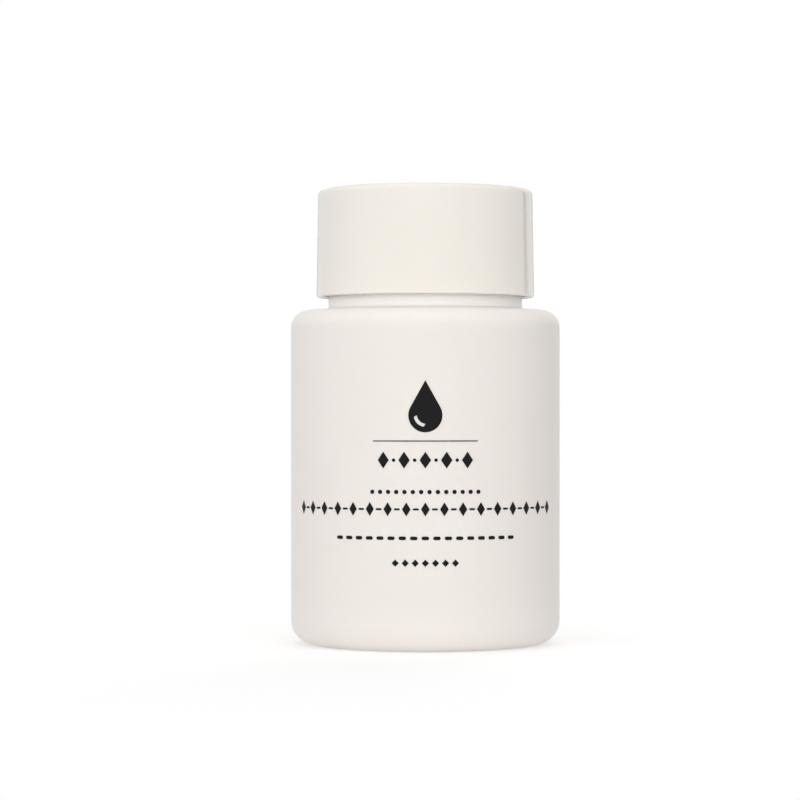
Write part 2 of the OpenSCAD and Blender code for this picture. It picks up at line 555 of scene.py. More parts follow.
@dataclass(frozen=True)
class GlossPlastic(PalePlastic):
    """Polished polypropylene from a mirror-faced mould."""

    relief_depth: float = 0.012 * MM
    light_share: float = 0.4
    ripples: Noise = Noise(1 / (9 * MM), 2)
    ripple_run: Point = (1.0, 1.0, 0.35)
    ripple_tone: float = 0.015
    hairlines: Noise = Noise(1400, 3)
    hairline_turn: float = 0.02
    hairline_run: Point = (0.2, 6.0, 1.0)
    hairline_band: Pair = (0.62, 0.74)
    hairline_gloss: float = 0.12
    hairline_relief: float = 0.04
    handling: Noise = Noise(90, 3)
    handling_band: Pair = (0.42, 0.66)
    handling_gloss: float = 0.05
    # Painted highlight: the rim's lowest edge is painted paler, standing in for the light its
    # rounded edge catches.
    rim_highlight_height: Pair = (62.85 * MM, 62.55 * MM)
    rim_highlight_tone: float = 1.12
    # Painted shade: the rim's underside is painted darker, standing in for the shade in the gap
    # over the neck.
    under_shade_height: Pair = (62.52 * MM, 62.43 * MM)
    under_shade_reach: Pair = (19.42 * MM, 19.27 * MM)
    under_shade_tone: float = 0.5
    top_level: float = 81.0 * MM
    gate_radius: float = 1.1 * MM
    gate_width: Pair = (0.28 * MM, 0.05 * MM)
    gate_relief: float = 1.6

    def coat(self, place: Place) -> Coat:
        """Writes the sink ripples, the painted highlight on the rim and painted shade under it,
        hairlines from handling and the gate's dimple.

        Args:
            place: The shaded point.

        Returns:
            Its colour, roughness and relief.
        """
        graph = place.graph
        drawn = graph.vector("MULTIPLY", place.spot, self.ripple_run)
        flow = graph.noise(drawn, self.ripples)
        handled = graph.ramp(graph.noise(place.spot, self.handling), *self.handling_band)
        hair = self.hairline(place) * handled
        gloss = hair * self.hairline_gloss + handled * self.handling_gloss + self.roughness
        off_gate = graph.math("ABSOLUTE", place.radius - self.gate_radius)
        dimple = graph.ramp(off_gate, *self.gate_width) * (place.height > self.top_level)
        relief = flow - hair * self.hairline_relief - dimple * self.gate_relief
        return Coat(self.tone(place, flow), gloss, relief)

    def tone(self, place: Place, flow: Wire) -> Wire:
        """The cap's colour, with a painted highlight on the rim's edge and painted shade under
        the rim.

        Args:
            place: The shaded point.
            flow: The ripples.

        Returns:
            The colour.
        """
        graph = place.graph
        dark = self.colour.times(1 - self.ripple_tone)
        tone = graph.mix(flow, dark, self.colour.times(1 + self.ripple_tone))
        # Painted highlight on the rim's edge.
        edge = graph.ramp(place.height, *self.rim_highlight_height)
        tone = graph.mix(edge, tone, self.colour.times(self.rim_highlight_tone))
        # Painted shade under the rim.
        under = graph.ramp(place.height, *self.under_shade_height)
        under = under * graph.ramp(place.radius, *self.under_shade_reach)
        return graph.mix(under, tone, self.colour.times(self.under_shade_tone))

    def hairline(self, place: Place) -> Wire:
        """Hairlines that run round the cap, as a hand that turns it leaves them.

        Args:
            place: The shaded point.

        Returns:
            1 on a hairline, else 0.
        """
        graph = place.graph
        sockets = {0: place.turn * self.hairline_turn, 1: place.height, 2: place.radius}
        turned = graph.wire("ShaderNodeCombineXYZ", None, sockets)
        drawn = graph.vector("MULTIPLY", turned, self.hairline_run)
        return graph.ramp(graph.noise(drawn, self.hairlines), *self.hairline_band)


@dataclass(frozen=True)
class FoamedSheet(Finish):
    """Pressed polyethylene foam, with the mark of the rim that it seals on."""

    relief_depth: float = 0.06 * MM
    cell: float = 0.28 * MM
    cell_gloss: float = 0.1
    clouds: Noise = Noise(120, 3)
    cloud_tone: float = 0.96
    seal_inner: Pair = (15.7 * MM, 16.0 * MM)
    seal_outer: Pair = (17.6 * MM, 17.3 * MM)
    seal_share: float = 0.5
    seal_tone: float = 0.9
    seal_gloss: float = 0.2
    seal_flatness: float = 0.7
    seal_relief: float = 1.5

    def coat(self, place: Place) -> Coat:
        """Writes the closed cells, and the pressed and polished ring.

        Args:
            place: The shaded point.

        Returns:
            Its colour, roughness and relief.
        """
        graph = place.graph
        cells = graph.cells(place.spot, self.cell)
        inside = graph.ramp(place.radius, *self.seal_inner)
        pressed = inside * graph.ramp(place.radius, *self.seal_outer)
        clouds = graph.noise(place.spot, self.clouds)
        tone = graph.mix(clouds, self.colour.times(self.cloud_tone), self.colour)
        tone = graph.mix(pressed * self.seal_share, tone, self.colour.times(self.seal_tone))
        gloss = self.roughness - pressed * self.seal_gloss + cells * self.cell_gloss
        relief = (1 - cells) * (1 - pressed * self.seal_flatness) - pressed * self.seal_relief
        return Coat(tone, gloss, relief)


@dataclass(frozen=True)
class CutFoam(Finish):
    """Open-cell foam, damp in its pores, rough where it is cut."""

    relief_depth: float = 0.16 * MM
    deep: Tint = Tint(0.46, 0.16, 0.21)
    pore_name: str = "pore"
    pore_relief: float = 0.6
    cell: float = 0.42 * MM
    cell_wall: Pair = (0.12, 0.5)
    cell_share: float = 0.7
    clouds: Noise = Noise(160, 3)
    cloud_tones: Pair = (0.93, 1.05)
    hollow_share: float = 0.75
    hollow_gloss: float = 0.22
    sheen: float = 0.25
    sheen_roughness: float = 0.5

    def constants(self) -> dict[str, object]:
        """The shader's inputs that are the same all over the surface."""
        sheen = {"Sheen Weight": self.sheen, "Sheen Roughness": self.sheen_roughness}
        return super().constants() | sheen

    def coat(self, place: Place) -> Coat:
        """Writes the large pores from the mesh, and fine cells from the position.

        Args:
            place: The shaded point.

        Returns:
            Its colour, roughness and relief.
        """
        graph = place.graph
        pore = graph.wire("ShaderNodeAttribute", {"attribute_name": self.pore_name}, None, "Fac")
        fine = graph.ramp(graph.cells(place.spot, self.cell), *self.cell_wall)
        hollow = graph.math("MAXIMUM", pore, (1 - fine) * self.cell_share)
        dark, pale = (self.colour.times(share) for share in self.cloud_tones)
        tone = graph.mix(graph.noise(place.spot, self.clouds), dark, pale)
        tone = graph.mix(hollow * self.hollow_share, tone, self.deep)
        gloss = self.roughness - hollow * self.hollow_gloss
        return Coat(tone, gloss, fine - pore * self.pore_relief)


@dataclass(frozen=True)
class PrintInk(Finish):
    """Black screen ink, a film with the mesh of its screen."""

    relief_depth: float = 0.008 * MM
    screen: float = 0.11 * MM
    cover: Noise = Noise(1 / (0.66 * MM), 3)
    cover_gloss: float = 0.3
    thin_band: Pair = (0.55, 0.8)
    thin_share: float = 0.5
    thin_tone: float = 2.6

    def coat(self, place: Place) -> Coat:
        """Writes the film's uneven cover and gloss.

        Args:
            place: The shaded point.

        Returns:
            Its colour, roughness and relief.
        """
        graph = place.graph
        cover = graph.noise(place.spot, self.cover)
        thin = graph.ramp(cover, *self.thin_band) * self.thin_share
        tone = graph.mix(thin, self.colour, self.colour.times(self.thin_tone))
        gloss = (cover - 0.5) * self.cover_gloss + self.roughness
        return Coat(tone, gloss, graph.cells(place.spot, self.screen) + cover)


@dataclass(frozen=True)
class FloorPaper(Surface):
    """The table's paper, which lights the jar from below and keeps its shadow.

    The camera sees it white, apart from a share of its own shading near the jar.
    """

    fibres: Noise = Noise(300, 4)
    shades: Pair = (0.48, 0.52)
    glow: float = 0.3
    glow_edge: Pair = (30 * MM, 26 * MM)
    seen_shade: float = 0.88
    lit_level: float = 0.768  # What seen_shade renders at where no shadow falls.
    white_level: float = 1.012
    shadow_share: float = 0.85
    shadow_fade: Pair = (60 * MM, 200 * MM)

    def shader(self, graph: Graph) -> Wire:
        """Adds the lit paper, and what the camera sees of it.

        Args:
            graph: The material's graph.

        Returns:
            The shader.
        """
        spot = graph.wire("ShaderNodeTexCoord", None, None, "Object")
        reach = graph.vector("LENGTH", spot)
        dark, pale = (WHITE.times(shade) for shade in self.shades)
        paper = graph.mix(graph.noise(spot, self.fibres), dark, pale)
        under_jar = graph.ramp(reach, *self.glow_edge)
        table = graph.blend(
            under_jar, graph.glowing(paper, 0.0), graph.glowing(paper, self.glow)
        )
        # Where no shadow falls, this glow lifts the paper to just past white.
        lift = self.white_level - self.lit_level * self.shadow_share
        near = graph.glowing(WHITE.times(self.seen_shade * self.shadow_share), lift)
        clear = graph.wire("ShaderNodeEmission", None, {"Color": WHITE, "Strength": 1.0})
        shown = graph.blend(graph.ramp(reach, *self.shadow_fade), near, clear)
        return graph.blend(graph.seen_share(), table, shown)


@dataclass(frozen=True)
class CardPaper(Surface):
    """The matt paper of a card."""

    shade: float

    def shader(self, graph: Graph) -> Wire:
        """Adds the matt shader."""
        return graph.wire("ShaderNodeBsdfDiffuse", None, {"Color": WHITE.times(self.shade)})


@dataclass(frozen=True)
class Lamp:
    """A soft box: where it hangs, its width and height, and its power in watts."""

    name: str
    place: Point
    size: Pair
    watts: float


@dataclass(frozen=True)
class Card:
    """A card that only reflections show: its middle, its width and height, and its shade."""

    name: str
    place: Point
    size: Pair
    shade: float


@dataclass(frozen=True)
class View:
    """The camera: its place, its lens and sensor in millimetres, its shift in sensor widths."""

    place: Point = (0.0, -0.5299, 0.042)
    lens: float = 131.9
    sensor: float = 36.0
    shift: Pair = (-0.0317, 0.0129)
    nearest: float = 0.01


@dataclass
class Studio:
    """The air, the floor, the lamps, the cards and the camera."""

    air: float = 0.5
    floor_half: float = 6.0
    floor_level: float = -0.05 * MM
    paper: FloorPaper = FloorPaper("floor_paper")
    aim: Point = (0.0, 0.0, 0.045)
    lamps: Sequence[Lamp] = (
        Lamp("top_lamp", (0.0, -0.3, 1.2), (0.9, 0.9), 2.7),
        Lamp("front_lamp", (0.0, -1.16, 0.36), (1.4, 0.3), 2.7),
        Lamp("low_lamp", (0.0, -1.2, 0.05), (1.6, 0.09), 5.1),
        Lamp("left_lamp", (-1.02, -0.62, 0.25), (0.8, 0.8), 1.75),
        Lamp("right_lamp", (1.02, -0.55, 0.25), (0.8, 0.8), 1.15),
        Lamp("left_back_lamp", (-1.15, 0.2, 0.2), (0.8, 0.8), 1.95),
        Lamp("back_lamp", (0.25, 1.2, 0.3), (1.2, 0.8), 9.0),
    )
    cards: Sequence[Card] = (
        Card("slim_card", (0.446, 0.401, 0.1), (0.07, 0.9), 0.02),
        Card("back_card", (0.0, 0.8, 0.11), (0.6, 0.26), 0.8),
    )
    view: View = View()

    def build(self) -> None:
        """Sets up everything round the object."""
        bpy.context.scene.view_settings.view_transform = "Standard"
        self.light_world()
        self.lay_floor()
        for lamp in self.lamps:
            self.hang_lamp(lamp)
        for card in self.cards:
            self.stand_card(card)
        self.set_camera()
        LOG.info("studio: %d lamps, %d cards", len(self.lamps), len(self.cards))

    def light_world(self) -> None:
        """Lights the world evenly, and shows it white."""
        world = bpy.data.worlds.new("studio_air")
        bpy.context.scene.world = world
        graph = Graph.emptied(world)
        lit, shown = (
            graph.wire("ShaderNodeBackground", None, {"Color": WHITE, "Strength": strength})
            for strength in (self.air, 1.0)
        )
        mixed = graph.blend(graph.seen_share(), lit, shown)
        graph.node("ShaderNodeOutputWorld", None, {"Surface": mixed})

    def lay_floor(self) -> None:
        """Lays the floor: a lit table, white as the camera sees it apart from the shadow."""
        half, low = self.floor_half, self.floor_level
        ends = [(-half, -half, low), (half, -half, low), (half, half, low), (-half, half, low)]
        sheet("floor", ends, self.paper)

    def hang_lamp(self, lamp: Lamp) -> None:
        """Hangs a soft box that faces the jar.

        Args:
            lamp: The lamp's place, size and power.
        """
        data = bpy.data.lights.new(lamp.name, "AREA")
        data.shape = "RECTANGLE"
        data.size, data.size_y = lamp.size
        data.energy = lamp.watts
        made = link(lamp.name, data)
        made.location = lamp.place
        aim = Vector(self.aim) - Vector(lamp.place)
        made.rotation_euler = aim.to_track_quat("-Z", "Y").to_euler()
        made.visible_camera = False
        made.visible_glossy = False

    def stand_card(self, card: Card) -> None:
        """Stands a card upright, facing the jar's axis, where only reflections show it.

        Args:
            card: The card's place, size and shade.
        """
        middle = Vector(card.place)
        facing = Vector((-middle.x, -middle.y, 0)).normalized()
        side = Vector((-facing.y, facing.x, 0)) * card.size[0] / 2
        rise = Vector((0, 0, card.size[1] / 2))
        low, high = middle - rise, middle + rise
        ends = [tuple(end) for end in (low - side, low + side, high + side, high - side)]
        made = sheet(card.name, ends, CardPaper(card.name, card.shade))
        made.visible_camera = False
        made.visible_diffuse = False
        made.visible_shadow = False

    def set_camera(self) -> None:
        """Sets the camera level, looking along +Y."""
        data = bpy.data.cameras.new("camera")
        data.lens = self.view.lens
        data.sensor_width = self.view.sensor
        data.shift_x, data.shift_y = self.view.shift
        data.clip_start = self.view.nearest
        made = link("camera", data)
        made.location = self.view.place
        made.rotation_euler = (math.radians(90), 0, 0)
        bpy.context.scene.camera = made


def link(name: str, data: bpy.types.ID) -> bpy.types.Object:
    """Makes an object of some data and puts it in the scene.

    Args:
        name: The object's name.
        data: Its mesh, lamp or camera.

    Returns:
        The object.
    """
    made = bpy.data.objects.new(name, data)
    bpy.context.scene.collection.objects.link(made)
    return made


def sheet(name: str, ends: Sequence[Point], surface: Surface) -> bpy.types.Object:
    """Makes a flat sheet and puts it in the scene.

    Args:
        name: The sheet's name.
        ends: Its four corners in turn.
        surface: What it is made of.

    Returns:
        The sheet.
    """
    mesh = bpy.data.meshes.new(name)
    mesh.from_pydata(ends, [], [(0, 1, 2, 3)])
    mesh.materials.append(surface.material())
    return link(name, mesh)


class PieceTree:
    """Geometry Nodes that turn a plain mesh into a finished piece of one material."""

    TITLE: str
    SIZES: Sequence[str]
    COUNTS: Sequence[str] = ()

    def __init__(self, material: bpy.types.Material) -> None:
        """Builds the tree, with an input for each of SIZES.

        Args:
            material: The piece's material.
        """
        self.tree = bpy.data.node_groups.new(self.TITLE, "GeometryNodeTree")
        self.add_socket("Geometry", "INPUT", "NodeSocketGeometry")
        self.keys: dict[str, str] = {}
        for name in self.SIZES:
            kind = "NodeSocketInt" if name in self.COUNTS else "NodeSocketFloat"
            self.keys[name] = self.add_socket(name, "INPUT", kind)
        self.add_socket("Geometry", "OUTPUT", "NodeSocketGeometry")
        graph = Graph(self.tree)
        given = graph.node("NodeGroupInput")
        size = {name: Wire(graph, given.outputs[name]) for name in self.SIZES}
        shaped = self.shape(graph, Wire(graph, given.outputs["Geometry"]), size)
        real = graph.wire("GeometryNodeRealizeInstances", None, {"Geometry": shaped})
        sockets = {"Geometry": real, "Material": material}
        painted = graph.wire("GeometryNodeSetMaterial", None, sockets)
        graph.feed(graph.node("NodeGroupOutput").inputs["Geometry"], painted)

    def add_socket(self, name: str, side: str, kind: str) -> str:
        """Adds a socket to the tree's outside and returns its identifier."""
        return self.tree.interface.new_socket(name, in_out=side, socket_type=kind).identifier

    def shape(self, graph: Graph, plain: Wire, size: dict[str, Wire]) -> Wire:
        """Writes the nodes between input and output. Each tree has its own.

        Args:
            graph: The tree's graph.
            plain: The plain mesh.
            size: The tree's inputs.

        Returns:
            The shaped piece.
        """
        raise NotImplementedError

    def move(self, graph: Graph, mesh: Wire, entry: str, value: Wire) -> Wire:
        """Moves a mesh's points, by an Offset or to a Position."""
        return graph.wire("GeometryNodeSetPosition", None, {"Geometry": mesh, entry: value})

    def run(self, name: str, plain: bpy.types.Mesh, sizes: dict[str, Number]) -> bpy.types.Object:
        """Runs the tree on a plain mesh.

        Args:
            name: The new piece's name.
            plain: The plain mesh.
            sizes: A value for each of SIZES.

        Returns:
            The piece as a plain mesh at the origin, with no modifier.
        """
        source = link(name + "_source", plain)
        modifier = source.modifiers.new(self.TITLE, "NODES")
        modifier.node_group = self.tree
        for label, value in sizes.items():
            modifier[self.keys[label]] = value
        depsgraph = bpy.context.evaluated_depsgraph_get()
        result = bpy.data.meshes.new_from_object(source.evaluated_get(depsgraph))
        result.name = name
        bpy.data.objects.remove(source)
        return link(name, result)


class WrapTree(PieceTree):
    """Repeats a flat shape in a row and wraps it on a round wall as a film."""

    TITLE = "wrap_row"
    SIZES = ("Count", "Pitch", "Level", "Radius", "Film", "Sink")
    COUNTS = ("Count",)

    def shape(self, graph: Graph, plain: Wire, size: dict[str, Wire]) -> Wire:
        """Lays the row, gives it its thickness and bends it.

        Args:
            graph: The tree's graph.
            plain: The flat shape.
            size: The tree's inputs.

        Returns:
            The row on the wall.
        """
        row = self.repeat(graph, plain, size)
        return self.wrap(graph, self.thicken(graph, row, size["Film"]), size)

    def repeat(self, graph: Graph, flat: Wire, size: dict[str, Wire]) -> Wire:
        """Lays the flat shape in a centred row.

        Args:
            graph: The tree's graph.
            flat: The flat shape.
            size: The tree's inputs.

        Returns:
            The row as real geometry.
        """
        start = (size["Count"] - 1) * size["Pitch"] * -0.5
        begin = graph.wire("ShaderNodeCombineXYZ", None, {0: start})
        step = graph.wire("ShaderNodeCombineXYZ", None, {0: size["Pitch"]})
        sockets = {"Count": size["Count"], "Start Location": begin, "Offset": step}
        line = graph.wire("GeometryNodeMeshLine", {"mode": "OFFSET"}, sockets)
        sockets = {"Points": line, "Instance": flat}
        row = graph.wire("GeometryNodeInstanceOnPoints", None, sockets)
        return graph.wire("GeometryNodeRealizeInstances", None, {"Geometry": row})

    def thicken(self, graph: Graph, flat: Wire, film: Wire) -> Wire:
        """Gives the flat row the film's thickness and closes it underneath.

        Args:
            graph: The tree's graph.
            flat: The flat row.
            film: The thickness.

        Returns:
            The closed film.
        """
        up = graph.wire("ShaderNodeCombineXYZ", None, {2: 1.0})
        sockets = {"Mesh": flat, "Offset": up, "Offset Scale": film, "Individual": False}
        sides = graph.wire("GeometryNodeExtrudeMesh", {"mode": "FACES"}, sockets)
        under = graph.wire("GeometryNodeFlipFaces", None, {"Mesh": flat})
        joined = graph.node("GeometryNodeJoinGeometry")
        for part in (under, sides):
            graph.feed(joined.inputs[0], part)
        sockets = {"Geometry": Wire(graph, joined.outputs[0]), "Distance": MERGE}
        return graph.wire("GeometryNodeMergeByDistance", None, sockets)

    def wrap(self, graph: Graph, film: Wire, size: dict[str, Wire]) -> Wire:
        """Bends the row around the wall, its middle at the front.

        Args:
            graph: The tree's graph.
            film: The row, lying in the XY plane.
            size: The tree's inputs.

        Returns:
            The row on the wall.
        """
        spot = graph.wire("GeometryNodeInputPosition")
        split = graph.node("ShaderNodeSeparateXYZ", None, {0: spot})
        run, up, out = (Wire(graph, end) for end in split.outputs)
        angle = run / size["Radius"]
        reach = size["Radius"] - size["Sink"] + out
        across = reach * graph.math("SINE", angle)
        along = reach * graph.math("COSINE", angle) * -1
        sockets = {0: across, 1: along, 2: up + size["Level"]}
        bent = graph.wire("ShaderNodeCombineXYZ", None, sockets)
        return self.move(graph, film, "Position", bent)


class PoreTree(PieceTree):
    """Sinks pores in a closed mesh and lets its top settle unevenly."""

    TITLE = "open_pores"
    SIZES = ("Pore Size", "Pore Depth", "Sag", "Top", "Seed")
    SETTLING = -9 * MM  # Where the settling starts, from the top.
    SLOW = Noise(95, 1)
    BOWL = (0.42, 0.14)  # A pore's edge and its deepest ring, in pore sizes.
    SCATTER = Noise(420, 2)
    SPARSE = (0.38, 0.6)  # Where that noise keeps pores shut, and where they are open.

    def __init__(self, material: bpy.types.Material, pore_name: str) -> None:
        """Builds the tree.

        Args:
            material: The foam's material.
            pore_name: The attribute that keeps how deep each point lies in a pore.
        """
        self.pore_name = pore_name
        super().__init__(material)

    def shape(self, graph: Graph, plain: Wire, size: dict[str, Wire]) -> Wire:
        """Lets the top settle and sinks the pores.

        Args:
            graph: The tree's graph.
            plain: The closed mesh.
            size: The tree's inputs.

        Returns:
            The foam, with the depth of its pores as an attribute.
        """
        pore = self.pore(graph, size)
        stored = graph.wire(
            "GeometryNodeStoreNamedAttribute",
            {"data_type": "FLOAT", "domain": "POINT"},
            {"Geometry": self.settle(graph, plain, size), "Name": self.pore_name, "Value": pore},
        )
        normal = graph.wire("GeometryNodeInputNormal")
        sockets = {0: normal, "Scale": pore * size["Pore Depth"] * -1}
        sunk = graph.wire("ShaderNodeVectorMath", {"operation": "SCALE"}, sockets)
        return self.move(graph, stored, "Offset", sunk)

    def settle(self, graph: Graph, drum: Wire, size: dict[str, Wire]) -> Wire:
        """Lowers the top by a slow noise, most where it is highest.

        Args:
            graph: The tree's graph.
            drum: The mesh.
            size: The tree's inputs.

        Returns:
            The settled mesh.
        """
        spot = graph.wire("GeometryNodeInputPosition")
        height = graph.wire("ShaderNodeSeparateXYZ", None, {0: spot}, 2)
        near_top = graph.ramp(height - size["Top"], self.SETTLING, 0.0)
        slow = graph.noise(self.seeded(graph, 2, size["Seed"]), self.SLOW)
        drop = {2: slow * near_top * size["Sag"] * -1}
        drop = graph.wire("ShaderNodeCombineXYZ", None, drop)
        return self.move(graph, drum, "Offset", drop)

    def pore(self, graph: Graph, size: dict[str, Wire]) -> Wire:
        """How deep a point lies in a pore, from 0 to 1.

        Args:
            graph: The tree's graph.
            size: The tree's inputs.

        Returns:
            The depth.
        """
        spot = self.seeded(graph, 0, size["Seed"])
        bowl = graph.ramp(graph.cells(spot, size["Pore Size"]), *self.BOWL)
        return bowl * graph.ramp(graph.noise(spot, self.SCATTER), *self.SPARSE)

    def seeded(self, graph: Graph, axis: int, seed: Wire) -> Wire:
        """The point's position, moved along an axis by the seed.

        Args:
            graph: The tree's graph.
            axis: The axis, 0 for X and 2 for Z.
            seed: How far it is moved, in metres.

        Returns:
            The position that the noise reads.
        """
        spot = graph.wire("GeometryNodeInputPosition")
        shift = graph.wire("ShaderNodeCombineXYZ", None, {axis: seed})
        return graph.vector("ADD", spot, shift)


class Motif(Enum):
    """The flat shapes that the print is made of."""

    DOT = "dot"
    LOZENGE = "lozenge"
    DASH = "dash"
    DROP = "drop"


@dataclass(frozen=True)
class PrintRow:
    """One row of a motif around the jar's front, in millimetres. Widths run around the jar."""

    name: str
    motif: Motif
    level: float
    wide: float
    tall: float
    count: int = 1
    pitch: float = 0.0


@dataclass
class FlatShape:
    """A flat shape in the XY plane, sliced so that it can follow a round wall."""

    motif: Motif
    wide: float
    tall: float
    slice_at: float = 0.45 * MM
    dot_sides: int = 20
    end_steps: int = 8
    bowl_points: int = 33
    glint_points: int = 12
    glint_turns: Pair = (188, 262)
    glint_outer: float = 0.68
    glint_inner: float = 0.6
    glint_shift: float = 0.09

    def outlines(self) -> list[list[Pair]]:
        """The shape's closed outlines.

        Returns:
            The outer outline, and any holes after it.
        """
        half, up = self.wide / 2, self.tall / 2
        if self.motif is Motif.LOZENGE:
            return [[(half, 0), (0, up), (-half, 0), (0, -up)]]
        if self.motif is Motif.DOT:
            turns = [math.tau * step / self.dot_sides for step in range(self.dot_sides)]
            return [[(half * math.cos(a), up * math.sin(a)) for a in turns]]
        if self.motif is Motif.DASH:
            end = min(up, half)
            steps = range(self.end_steps + 1)
            turns = [math.pi * step / self.end_steps - math.pi / 2 for step in steps]
            right = [(half - end + end * math.cos(a), up * math.sin(a)) for a in turns]
            return [right + [(-x, -y) for x, y in right]]
        return [self.drop_outline(), self.glint_outline()]

    def drop_outline(self) -> list[Pair]:
        """A falling drop, with its point up.

        Returns:
            Its bowl's points and its tip.
        """
        bowl, up = self.wide / 2, self.tall / 2
        lean = math.asin(bowl / (self.tall - bowl))
        turns = np.linspace(math.pi - lean, math.tau + lean, self.bowl_points)
        points = [(bowl * math.cos(a), bowl - up + bowl * math.sin(a)) for a in turns]
        return [*points, (0.0, up)]

    def glint_outline(self) -> list[Pair]:
        """The crescent that is left bare in the drop's lower left.

        Returns:
            Its outer points and, backwards, its inner points.
        """
        bowl = self.wide / 2
        low = bowl - self.tall / 2
        first, last = (math.radians(turn) for turn in self.glint_turns)
        turns = np.linspace(first, last, self.glint_points)
        reach = self.glint_outer * bowl
        outer = [(reach * math.cos(a), low + reach * math.sin(a)) for a in turns]
        reach, shift = self.glint_inner * bowl, self.glint_shift * bowl
        inner = [(reach * math.cos(a) + shift, low + reach * math.sin(a) + shift) for a in turns]
        return outer + inner[::-1]

    def mesh(self, name: str) -> bpy.types.Mesh:
        """Fills the outlines and slices the faces across the turning direction.

        Args:
            name: The mesh's name.

        Returns:
            The flat mesh, facing up.
        """
        grid = bmesh.new()
        for outline in self.outlines():
            points = [grid.verts.new((x, y, 0)) for x, y in outline]
            for first, second in zip(points, points[1:] + points[:1]):
                grid.edges.new((first, second))
        bmesh.ops.triangle_fill(grid, edges=grid.edges[:], use_beauty=True, normal=(0, 0, 1))
        slices = math.ceil(self.wide / self.slice_at)
        for step in range(1, slices):
            bmesh.ops.bisect_plane(
                grid,
                geom=grid.verts[:] + grid.edges[:] + grid.faces[:],
                plane_co=(-self.wide / 2 + self.wide * step / slices, 0, 0),
                plane_no=(1, 0, 0),
                dist=MERGE,
            )
        for face in grid.faces:
            if face.normal.z < 0:
                face.normal_flip()
        made = bpy.data.meshes.new(name)
        grid.to_mesh(made)
        grid.free()
        return made


@dataclass
class FrontPrint:
    """The ornament printed on the jar's front, in black ink."""

    radius: float = 24.25 * MM
    film: float = 0.07 * MM
    sink: float = 0.035 * MM
    body: str = "jar_body"
    ink: PrintInk = PrintInk("black_ink", Tint(0.008, 0.008, 0.009), 0.5, 1.22)
    rows: Sequence[PrintRow] = (
        PrintRow("print_drop", Motif.DROP, 42.7, 5.9, 9.0),
        PrintRow("print_rule", Motif.DASH, 36.7, 18.6, 0.18),
        PrintRow("print_large_lozenges", Motif.LOZENGE, 33.4, 2.0, 2.9, 5, 3.7),
        PrintRow("print_large_dots", Motif.DOT, 33.4, 0.6, 0.6, 4, 3.7),
        PrintRow("print_dot_line", Motif.DOT, 27.9, 0.75, 0.75, 14, 1.45),
        PrintRow("print_frieze_lozenges", Motif.LOZENGE, 24.9, 1.5, 2.4, 17, 3.3),
        PrintRow("print_frieze_dashes", Motif.DASH, 24.9, 1.05, 0.34, 16, 3.3),
        PrintRow("print_fine_dashes", Motif.DASH, 19.9, 1.3, 0.62, 17, 2.0),
        PrintRow("print_small_lozenges", Motif.LOZENGE, 15.6, 1.25, 1.25, 7, 1.75),
    )

    def build(self) -> list[bpy.types.Object]:
        """Prints every row on the jar.

        Returns:
            The rows' pieces.
        """
        tree = WrapTree(self.ink.material())
        made = []
        for row in self.rows:
            flat = FlatShape(row.motif, row.wide * MM, row.tall * MM)
            sizes = {
                "Count": row.count,
                "Pitch": row.pitch * MM,
                "Level": row.level * MM,
                "Radius": self.radius,
                "Film": self.film,
                "Sink": self.sink,
            }
            piece = tree.run(row.name, flat.mesh(row.name + "_shape"), sizes)
            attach(piece, self.body)
            LOG.info("%s: %d of %s", row.name, row.count, row.motif.value)
            made.append(piece)
        return made


@dataclass(frozen=True)
class FoamSteps:
    """How many steps the foam's mesh takes around it and along each part of its outline."""

    around: int = 320
    by_slit: int = 9
    base: int = 11
    low_round: int = 7
    wall: int = 51
    high_round: int = 5
    top: int = 45
    lip: int = 4
    hole: int = 61
    hole_floor: int = 11


